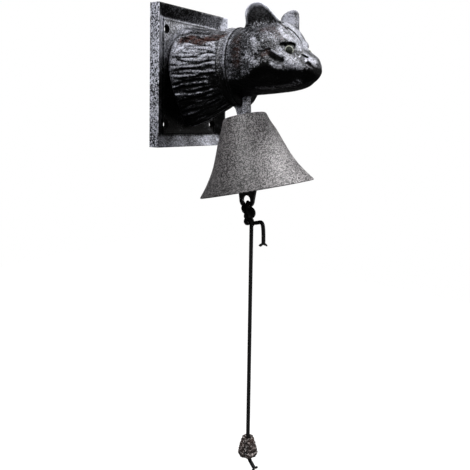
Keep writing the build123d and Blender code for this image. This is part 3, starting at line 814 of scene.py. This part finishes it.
# Places along, out or up the bust, and the paint's tone or height at each: the neck and collar are painted
# dark low down, as shade on their undersides
bustPaint = {
    "neck": ((-34, -14, 0, 10, 36, 46), (-0.9, -0.35, 0.3, 0.7, 0.7, 0)),
    "collar": ((-10, 10, 30), (-1.2, 0, 0.4)),
    "rims": (
        (-0.12, -0.06, 0.05, 0.12, 0.66, 0.76, 0.88, 0.96, 1.04, 1.1),
        (0, -1.2, -1.2, 0, 0, 0.7, 0.7, -0.9, -0.9, 0),
    ),
    "rimStrength": ((-15, 15), (0.2, 1)),
    "lug": 0.55,
    "jaw": [(-21.9, -113.1, -10.4), (-19.5, -125.9, -10.3), (-17.8, -142.1, -8.3), (-13.2, -156.1, -4.2)],
    "earFoot": ((-132, -115, -108, -102), (52, 54.5, 52, 47)),
    "earInsideShade": ((52, 70), (-0.5, 0.1)),
}


def paintBust(mesh, relief):
    points = readPoints(mesh)
    across, out, level = points.T
    cheek = np.clip((level - np.interp(out, *jawEdge.T) - np.sin(out * 1.7) + 0.6) / 3, 0, 1)
    # below the jaw edge the head is painted near black, and the neck dark low down: painted shade on the
    # undersides
    tone = np.where(out < -82, 1.3 * cheek - 1.25, np.interp(level, *bustPaint["neck"]))
    collar = (out < -66.5) & (out > -81.5) & (level > -30)
    tone = np.where(collar, np.interp(level, *bustPaint["collar"]), tone)
    lean = collarSizes["lean"] * (level - collarSizes["level"])
    band = (lean - collarSizes["start"] - out) / collarSizes["length"]
    # the collar's edges painted dark and one rim pale, more so higher up: painted shade in its creases and a
    # painted highlight
    tone += np.interp(level, *bustPaint["rimStrength"]) * np.interp(band, *bustPaint["rims"])
    # ridges of the neck's fur painted lighter: painted highlights
    tone += np.where(out > -66, 0.8 * np.clip(relief, 0, 1.2), 0)
    lug = (level < -18) & (np.abs(across) < 6.5) & (out < -70) & (out > -100)
    tone = np.where(lug, bustPaint["lug"], tone)
    paintOver(points, tone, bothSides([(bustPaint["jaw"], 5, -0.1)]))
    paintOver(points, tone, lightShadeAndToneStrokes)
    warm = np.zeros(len(points))
    paintOver(points, warm, warmStrokes)
    earFoot = np.interp(out, *bustPaint["earFoot"]) + np.sin(out * 1.3)
    ear = np.clip((level - earFoot) / 2.5, 0, 1) * (across < -8) * (out < -95)
    # the near ear's inside is painted darker towards its foot, as shade
    tone += (np.interp(level, *bustPaint["earInsideShade"]) - tone) * ear
    paintOver(points, tone, earRimHighlights)
    smooth = cheek * (1 - ear) * np.clip((-out - 126) / 6, 0, 1)  # the face is less grainy
    grain = 1 - 0.65 * ear - 0.35 * smooth
    masks = {"grain": grain, "tone": tone, "warm": warm, "relief": np.clip(relief, -1.5, 1.5)}
    for name, mask in masks.items():
        mesh.attributes.new(name, "FLOAT", "POINT").data.foreach_set("value", mask)


# Long grooves and ridges from the panel to the collar, the grooves wavy
def neckFur(rng):
    strokes = []
    rows = bustSizes["furRows"]
    for row in range(rows):
        aim = 2 * math.pi * (row + 0.3 * rng.uniform(-1, 1)) / rows
        fromTop = abs((aim - math.pi / 2 + math.pi) % (2 * math.pi) - math.pi)
        strength = 0.35 if fromTop < 0.75 else 1.0
        start = rng.uniform(-0.02, 0.3)
        while start < 0.9:
            end = min(start + rng.uniform(0.25, 0.6), 0.99)
            swing, phase, drift = rng.uniform(0.01, 0.035), rng.uniform(0, 6.3), rng.uniform(-0.05, 0.05)
            path = []
            for i in range(7):
                part = start + (end - start) * i / 6
                angle = aim + swing * math.sin(9 * part + phase) + drift * (part - start)
                path.append(tuple(neckPoint(max(part, 0.0), angle)))
            strokes.append((path, rng.uniform(1.4, 2.1), -strength * rng.uniform(0.7, 1.5)))
            parts = [max(start + (end - start) * i / 6, 0.0) for i in range(7)]
            shifted = [tuple(neckPoint(part, aim + math.pi / rows)) for part in parts]
            strokes.append((shifted, rng.uniform(1.6, 2.4), strength * rng.uniform(0.2, 0.8)))
            start = end + rng.uniform(0.02, 0.15)
    return strokes


# Short strokes of coat over the head, swept back from the face
def headFur(rng):
    strokes = []
    for _ in range(330):
        share = rng.uniform(0.1, 0.72)
        angle = rng.uniform(0, 2 * math.pi)
        length = rng.uniform(0.04, 0.09)
        lean = rng.uniform(-0.12, 0.12)
        path = [tuple(headPoint(share + length * i / 3, angle + lean * i / 3)) for i in range(4)]
        strokes.append((path, rng.uniform(1.4, 2.2), rng.uniform(-0.6, 0.35)))
    return strokes


bustParts = ((neckPoint, 60, 96), (headPoint, 90, 96), (collarPoint, 24, 96), (lugPoint, 10, 40))


def makeBust():
    bm = bmesh.new()
    for place, rows, sides in bustParts:
        wrapGrid(bm, rows, sides, place)
    closeShell(bm)
    bust = shellObject(bm, "catBust")
    ears = bmesh.new()
    for which in ("near", "far"):
        makeEar(ears, earSizes[which])
    earShells = shellObject(ears, "ears")
    earShells.modifiers.new("round", "SUBSURF").levels = 3
    bakeModifiers(earShells)
    joined = bmesh.new()
    joined.from_mesh(bust.data)
    joined.from_mesh(earShells.data)
    bpy.data.objects.remove(earShells)
    joined.to_mesh(bust.data)
    joined.free()
    remesh = bust.modifiers.new("fuse", "REMESH")
    remesh.mode = "VOXEL"
    remesh.voxel_size = bustSizes["voxel"]
    bakeModifiers(bust)
    soft = bmesh.new()
    soft.from_mesh(bust.data)
    # brow and muzzle get a finer mesh for their creases
    face = [edge for edge in soft.edges if all(vert.co.y < -132 and vert.co.z > -1 for vert in edge.verts)]
    bmesh.ops.subdivide_edges(soft, edges=face, cuts=1, use_grid_fill=True)
    for _ in range(4):
        bmesh.ops.smooth_vert(
            soft, verts=soft.verts, factor=0.5, use_axis_x=True, use_axis_y=True, use_axis_z=True
        )
    soft.to_mesh(bust.data)
    soft.free()
    carve(bust.data, broadStrokes, sharp=False)
    rng = random.Random(bustSizes["furSeed"])
    relief = carve(bust.data, neckFur(rng) + headFur(rng) + neckGrooves + neckRidges)
    relief += carve(bust.data, fineStrokes)
    paintBust(bust.data, relief)
    addEyes(bust)
    print("bust", len(bust.data.polygons))
    materials = [catMaterial(), mottledMaterial("eyeGlaze"), mottledMaterial("eyeLid")]
    finishPiece(bust, materials, "root", "cast_iron_paint", "cat_bust")


# A dark ball in each socket, and a thin ring round its front that is pale on top; the ring's lower part takes
# the ball's dark glaze as painted shade
def addEyes(bust):
    bm = bmesh.new()
    bm.from_mesh(bust.data)
    radius = bustSizes["eyeRadius"]
    sink = Matrix.Translation((0, 0, -bustSizes["eyeSink"]))
    lift = Matrix.Translation((0, 0, bustSizes["lidLift"]))
    ringPlace = Matrix.Translation((radius - bustSizes["lidInset"], 0, 0))
    for side in (-1, 1):
        place = Vector(bustSizes["eyePlace"])
        gaze = Vector(bustSizes["gaze"]).normalized()
        place.x *= side
        gaze.x *= side
        turn = standAt(place, gaze)
        ball = bmesh.ops.create_uvsphere(bm, u_segments=32, v_segments=20, radius=radius)["verts"]
        bmesh.ops.transform(bm, matrix=turn @ sink, verts=ball)
        for face in {face for vert in ball for face in vert.link_faces}:
            face.material_index = 1
        ring = bmesh.ops.create_circle(bm, segments=12, radius=bustSizes["lidRadius"])["verts"]
        bmesh.ops.transform(bm, matrix=ringPlace @ Matrix.Rotation(math.pi / 2, 4, "X"), verts=ring)
        edges = list({edge for vert in ring for edge in vert.link_edges})
        before = set(bm.faces)
        spinRound(bm, ring + edges, 36)
        lid = [face for face in bm.faces if face not in before]
        lidVerts = list({vert for face in lid for vert in face.verts})
        bmesh.ops.transform(bm, matrix=turn @ lift, verts=lidVerts)
        bmesh.ops.recalc_face_normals(bm, faces=lid)
        for face in lid:
            # the ring's lower faces get the dark glaze: painted shade on its underside
            face.material_index = 2 if face.calc_center_median().z > place.z - 2 else 1
    bm.to_mesh(bust.data)
    bm.free()


makeBust()


# Back plate: the solid's own form with its edges softened
plateSizes = {"bevel": 0.45, "bevelAngle": 0.4, "shortest": 3, "shadeAngle": 0.45}


def makePlate():
    bm = bmesh.new()
    bm.from_mesh(nodes["back_plate"].data)
    bmesh.ops.scale(bm, vec=(1 / mm, 1 / mm, 1 / mm), verts=bm.verts)
    bmesh.ops.remove_doubles(bm, verts=bm.verts, dist=0.001)
    bmesh.ops.dissolve_limit(bm, angle_limit=0.02, verts=bm.verts, edges=bm.edges)
    sharp = [
        edge for edge in bm.edges
        if len(edge.link_faces) == 2 and edge.calc_face_angle() > plateSizes["bevelAngle"]
        and edge.calc_length() > plateSizes["shortest"]
    ]
    bmesh.ops.bevel(bm, geom=sharp, offset=plateSizes["bevel"], segments=2, affect="EDGES", profile=0.6)
    plate = shellObject(bm, "castPlate")
    finishPiece(plate, [plateMaterial()], "root", "cast_iron_paint", "back_plate")
    plate.data.set_sharp_from_angle(angle=plateSizes["shadeAngle"])
    print("plate", len(plate.data.polygons))


makePlate()


# Bell, spun about its own leaning axis: radius and level of points outside and inside
bellSizes = {
    "lean": math.radians(1.6),
    "steps": 144,
    "outer": [
        (0, 0), (12, 0), (20.5, 0), (22.8, -0.6), (24, -2.2), (24.9, -6), (27.6, -12.5), (31, -18.5),
        (35.2, -30), (40.2, -43.4), (44.2, -53), (49.6, -62), (54.4, -69.5), (58.8, -75), (61.6, -78.4),
        (62.2, -79.4), (62.1, -80.1), (61.4, -80.4),
    ],
    "inner": [
        (58.6, -80.3), (57.9, -79.6), (54.6, -75.5), (50, -69.5), (45.2, -62), (39.9, -53), (36, -43.4),
        (31, -30), (26.8, -18.5), (23.3, -12.5), (20.6, -8), (18.5, -5.2), (15, -4.3), (8, -4.2),
        (0, -4.2),
    ],
}


def makeBell():
    outline = bellSizes["outer"] + bellSizes["inner"]
    bell = shellObject(spinOutline(outline, bellSizes["steps"], closed=False), "ironBell")
    bell.modifiers.new("smooth", "SUBSURF").levels = 1
    bakeModifiers(bell)
    lean, tilt = Matrix.Rotation(-bellSizes["lean"], 4, "Y"), Matrix.Rotation(-hangTilt, 4, "X")
    bell.data.transform(Matrix.Translation(hangPlace) @ lean @ tilt)
    print("bell", len(bell.data.polygons))
    finishPiece(bell, [ironMaterials["bellIron"]], "root", "bell_iron", "bell")


makeBell()


# Cord: a round braid along a smooth line
cordSizes = {
    "radius": 2.2,
    "sides": 24,
    "step": 0.75,
    "pitch": 15.0,
    "strands": 8,
    "pullRoute": [
        (0, -96.5, -155.6), (0, -97.06, -180.6), (0, -102.45, -420.3), (0, -102.6, -430.8), (0, -111.4, -440),
    ],
    "tailRoute": [
        (0, -98.9, -153.6), (0, -104.4, -152.5), (0, -110.4, -150.6), (0, -112.6, -160.5),
        (0, -112.9, -173.5),
    ],
    "runEnd": (0, -102.75, -433.5),  # where the straight run ends in the solids
}


def smoothLine(points, closed=False):
    data = bpy.data.curves.new("line", "CURVE")
    data.dimensions = "3D"
    spline = data.splines.new("NURBS")
    spline.points.add(len(points) - 1)
    for knot, point in zip(spline.points, points):
        knot.co = (*point, 1)
    spline.order_u = 3
    spline.use_endpoint_u = not closed
    spline.use_cyclic_u = closed
    spline.resolution_u = 24
    line = bpy.data.objects.new("line", data)
    scene.collection.objects.link(line)
    bpy.context.view_layer.update()
    mesh = bpy.data.meshes.new_from_object(line.evaluated_get(bpy.context.evaluated_depsgraph_get()))
    found = np.array([vert.co[:] for vert in mesh.vertices])
    bpy.data.meshes.remove(mesh)
    bpy.data.objects.remove(line)
    if closed:
        found = np.vstack([found, found[:1]])
    runs = np.linalg.norm(np.diff(found, axis=0), axis=1)
    reach = np.concatenate([[0], np.cumsum(runs)])
    keep = np.concatenate([[True], runs > 1e-6])
    count = max(int(reach[-1] / cordSizes["step"]), 6)
    even = np.linspace(0, reach[-1], count + 1)
    return np.stack([np.interp(even, reach[keep], found[keep, i]) for i in range(3)], 1), reach[-1]


def braidHeight(angle, along):
    turns = angle / (2 * math.pi) * cordSizes["strands"] / 2
    travel = along / cordSizes["pitch"] * cordSizes["strands"] / 2
    right, left = turns + travel, turns - travel
    over = math.cos(math.pi * (right + left)) * math.cos(math.pi * (right - left))
    rightRise = abs(math.cos(math.pi * right)) + 0.35 * over
    leftRise = abs(math.cos(math.pi * left)) - 0.35 * over
    return max(rightRise, leftRise) - 1


def braidTube(name, points, radius=cordSizes["radius"], closed=False):
    line, length = smoothLine(points, closed)
    count = len(line)
    ahead = np.gradient(line, axis=0)
    if closed:
        ahead[0] = ahead[-1] = line[1] - line[-2]
    ahead /= np.linalg.norm(ahead, axis=1)[:, None]
    side = np.cross(ahead[0], (0.2, 0.1, 1) if abs(ahead[0][2]) < 0.8 else (1, 0.1, 0.2))
    frames = []
    for i in range(count):
        side = side - ahead[i] * (side @ ahead[i])
        side /= np.linalg.norm(side)
        frames.append((side.copy(), np.cross(ahead[i], side)))

    def place(share, angle):
        at = min(int(round(share * (count - 1))), count - 1)
        swell = radius * (1 + 0.09 * braidHeight(angle, share * length))
        first, second = frames[at]
        return Vector(line[at] + swell * (math.cos(angle) * first + math.sin(angle) * second))

    bm = bmesh.new()
    wrapGrid(bm, count - 1, cordSizes["sides"], place)
    closeShell(bm, fill=not closed)
    return shellObject(bm, name), line, length


pullCord, pullLine, pullLength = braidTube("pullCord", cordSizes["pullRoute"])
sideTail, tailLine, tailLength = braidTube("sideTail", cordSizes["tailRoute"])
print("cords", round(pullLength, 1), round(tailLength, 1))

def finishCord(piece, node):
    finishPiece(piece, [braid], "cord", "cord_fabric", node)


# Knots, each of several closed turns of the same cord
def windTurns(name, loops, node, radius=cordSizes["radius"]):
    turns = bmesh.new()
    for points in loops:
        piece, _, _ = braidTube("turn", points, radius, closed=True)
        turns.from_mesh(piece.data)
        bpy.data.objects.remove(piece)
    knot = shellObject(turns, name)
    finishCord(knot, node)
    return knot


knotRuns = {
    "loop": [
        (-3.4, -93.6, -143), (-4.8, -95, -138.5), (-4.2, -93.8, -133.8), (0, -90.6, -130.9),
        (4.2, -88.2, -133.8), (4.6, -88.6, -138.5), (3.4, -90, -143),
    ],
    "knot": [
        [
            (-3.6, -87.5, -136.5), (-5, -87.9, -138.4), (-4, -90.2, -142.5), (2, -90.6, -142),
            (4.4, -87.9, -137.4), (2, -85.6, -135.6),
        ],
        [
            (-4, -93.8, -136.6), (-5, -100.9, -137.6), (-5, -102.8, -142.5), (-4, -99.3, -146.4),
            (3, -91.4, -146.8), (4, -89.2, -139),
        ],
        [
            (-2, -91.9, -137.8), (-6.6, -97.7, -139.5), (-7, -99.8, -143.2), (-5, -97.1, -145.8),
            (2, -90.1, -145), (3, -88.9, -140),
        ],
        [(-5, -92.1, -143.6), (-5, -91.7, -147.4), (-1, -93.3, -148.6), (4, -91.2, -145.5), (2, -88.6, -142)],
        [(0, -88, -139), (-3, -96.1, -137.5), (-3, -99.1, -141.4), (0, -94, -145), (3, -87.9, -143.4)],
    ],
    "hitch": [
        [(2, -88.6, -150.8), (-3, -90.7, -151), (-4.2, -91.8, -154), (0, -92.6, -155), (4, -90.2, -152.6)],
        [(-2.4, -96.7, -148.4), (-3, -99.1, -150), (1, -97.4, -157.5), (3, -92.4, -150.8)],
    ],
}
finishCord(braidTube("cordLoop", knotRuns["loop"])[0], "cord_loop")
windTurns("cordKnot", knotRuns["knot"], "cord_knot")
windTurns("cordHitch", knotRuns["hitch"], "cord_hitch")


# Frayed ends: a few lobes that spread from a small core
fraySizes = {
    "spread": (2.2, 3.2), "lobe": 1.2, "lobeLength": (2.2, 3.0), "fold": (0.9, 1.3), "rise": (1.4, 2.6),
    "core": 2.1,
}


def frayedEnd(name, line, lobes, seed, node):
    rng = random.Random(seed)
    end, before = Vector(line[-1]), Vector(line[-4])
    turn = standAt(end, (end - before).normalized())
    bm = bmesh.new()
    for i in range(lobes):
        angle = 2 * math.pi * (i + rng.uniform(-0.2, 0.2)) / lobes
        spread = rng.uniform(*fraySizes["spread"])
        lobe = bmesh.ops.create_icosphere(bm, subdivisions=3, radius=1)["verts"]
        thick = fraySizes["lobe"]
        stretch = Matrix.Diagonal((thick, thick, rng.uniform(*fraySizes["lobeLength"]), 1))
        fold = rng.uniform(*fraySizes["fold"])
        lean = Matrix.Rotation(fold, 4, Vector((-math.sin(angle), math.cos(angle), 0)))
        place = spread * math.cos(angle), spread * math.sin(angle), rng.uniform(*fraySizes["rise"])
        bmesh.ops.transform(bm, matrix=turn @ Matrix.Translation(place) @ lean @ stretch, verts=lobe)
    core = bmesh.ops.create_icosphere(bm, subdivisions=3, radius=fraySizes["core"])["verts"]
    bmesh.ops.transform(bm, matrix=turn @ Matrix.Translation((0, 0, 0.4)), verts=core)
    for vert in bm.verts:
        vert.co += vert.normal * 0.35 * noise.noise(vert.co * 0.9)
    piece = shellObject(bm, name)
    finishCord(piece, node)
    return piece


tailFray = frayedEnd("sideTailFray", tailLine, 4, 3, "side_tail_end")
cordFray = frayedEnd("pullCordFray", pullLine, 5, 5, "pull_cord_end")


# Frame on the cord's straight run, at a distance from its start
def onRun(distance):
    start = Vector(cordSizes["pullRoute"][0])
    ahead = (Vector(cordSizes["runEnd"]) - start).normalized()
    return standAt(start + ahead * distance, ahead)


# Cast pull: a knobbly lump with the cord through it
pullSizes = {
    "start": 249.2,
    "steps": 40,
    "outline": [
        (4.4, 0.4), (5.8, 0), (6.8, 1), (8, 4.5), (9.4, 9), (10.5, 13), (10.7, 14.6), (10.5, 15.8),
        (11.7, 17.6), (12, 19.2), (11.7, 21), (10.6, 22.4), (8.6, 23.2), (5.6, 23.2),
    ],
    "recess": [(5.2, 22), (5.0, 20), (4.6, 18.8), (2.7, 18.6)],
    "bore": [(2.7, 3.2), (3.2, 1.2)],
    "smoothTo": 5.4,  # knobs start outside this radius
}


def makePull():
    outline = pullSizes["outline"] + pullSizes["recess"] + pullSizes["bore"]
    pull = shellObject(spinOutline(outline, pullSizes["steps"], closed=True), "castPull")
    pull.modifiers.new("round", "SUBSURF").levels = 2
    bakeModifiers(pull)
    for vert in pull.data.vertices:
        radius = math.hypot(vert.co.x, vert.co.y)
        if radius > pullSizes["smoothTo"]:
            cell = noise.voronoi(vert.co * 0.3)[0]
            lump = 1.1 * (0.4 - cell[0] * 1.7) + 0.5 * noise.noise(vert.co * 0.8)
            share = min((radius - pullSizes["smoothTo"]) / 1.5, 1)
            vert.co.x += vert.co.x / radius * lump * share
            vert.co.y += vert.co.y / radius * lump * share
    pull.data.transform(onRun(pullSizes["start"]))
    finishPiece(pull, [ironMaterials["pullIron"]], "pull", "pull_iron", "cord_pull")
    return pull


castPull = makePull()


# End knot in the pull's hollow foot: two tilted turns, each with its distance and slope
endKnotSizes = {"start": 267.6, "radius": 2.2, "cord": 2.0, "turns": ((2.1, 0.18), (5.0, -0.2))}


def makeEndKnot():
    turn = onRun(endKnotSizes["start"])
    radius = endKnotSizes["radius"]
    loops = []
    for distance, slope in endKnotSizes["turns"]:
        places = []
        for i in range(6):
            x, y = radius * math.cos(i * math.pi / 3), radius * math.sin(i * math.pi / 3)
            places.append(tuple(turn @ Vector((x, y, distance + slope * x))))
        loops.append(places)
    return windTurns("cordEndKnot", loops, "cord_end_knot", endKnotSizes["cord"])


endKnot = makeEndKnot()
finishCord(pullCord, "pull_cord")
finishCord(sideTail, "cord_side_tail")

# Pieces that keep the solids' own meshes
steelPieces = ("clapper_link", "eye_bolt", "bell_washer", "bell_nut", "bust_screw_upper", "bust_screw_lower")
carriedPieces = {"clapper": "clapperIron", **dict.fromkeys(steelPieces, "screwSteel")}
for name, look in carriedPieces.items():
    for slotEntry in nodes[name].material_slots:
        slotEntry.material = ironMaterials[look]
    if not nodes[name].material_slots:
        nodes[name].data.materials.append(ironMaterials[look])


# Studio: pale floor well below the bell, white backdrop, a soft sky from above and three softboxes
studio = {
    "floorHeight": -1.4,
    "floorSize": 4,
    "floorColour": (0.25, 0.25, 0.25),
    "floorGlow": 0.95,
    "skyLevels": (-0.15, 0.7),
    "skyStrength": (0.0, 0.4),
}


def floorMaterial():
    material = bpy.data.materials.new("paleFloor")
    material.use_nodes = True
    tree = material.node_tree
    shader = tree.nodes["Principled BSDF"]
    shader.inputs["Base Color"].default_value = (*studio["floorColour"], 1)
    shader.inputs["Roughness"].default_value = 0.9
    shader.inputs["Emission Color"].default_value = (1, 1, 1, 1)
    path = tree.nodes.new("ShaderNodeLightPath")
    glow = mathNode(tree, "MULTIPLY", path.outputs["Is Camera Ray"], studio["floorGlow"])
    tree.links.new(glow, shader.inputs["Emission Strength"])
    return material


def makeStudio():
    bm = bmesh.new()
    bmesh.ops.create_grid(bm, x_segments=1, y_segments=1, size=studio["floorSize"])
    bmesh.ops.translate(bm, vec=(0, 0, studio["floorHeight"]), verts=bm.verts)
    floor = shellObject(bm, "floor")
    floor.data.materials.append(floorMaterial())
    world = bpy.data.worlds.new("studio")
    scene.world = world
    world.use_nodes = True
    tree = world.node_tree
    back = tree.nodes["Background"]
    place = tree.nodes.new("ShaderNodeTexCoord").outputs["Generated"]
    sky = spanNode(tree, axesNode(tree, place)["Z"], *studio["skyLevels"], *studio["skyStrength"])
    path = tree.nodes.new("ShaderNodeLightPath")
    glow = mathNode(tree, "MAXIMUM", path.outputs["Is Camera Ray"], sky)
    back.inputs["Color"].default_value = (1, 1, 1, 1)
    tree.links.new(glow, back.inputs["Strength"])


studioLights = {
    "topKey": {"place": (0.35, -0.8, 1.15), "aim": (0, -0.09, 0), "size": (0.5, 0.5), "power": 34},
    "rightLow": {"place": (0.9, -1.1, 0.25), "aim": (0, -0.1, -0.05), "size": (0.4, 0.6), "power": 10},
    "leftHigh": {"place": (-1.15, -0.15, 0.85), "aim": (0, -0.05, -0.03), "size": (0.4, 0.4), "power": 22},
}


def makeLights():
    for name, light in studioLights.items():
        data = bpy.data.lights.new(name, "AREA")
        data.shape = "RECTANGLE"
        data.size, data.size_y = light["size"]
        data.energy = light["power"]
        lamp = bpy.data.objects.new(name, data)
        away = Vector(light["aim"]) - Vector(light["place"])
        turn = away.to_track_quat("-Z", "Y").to_matrix().to_4x4()
        lamp.matrix_world = Matrix.Translation(light["place"]) @ turn
        scene.collection.objects.link(lamp)


makeStudio()
makeLights()
scene.view_settings.view_transform = "Standard"
print("studio ready")
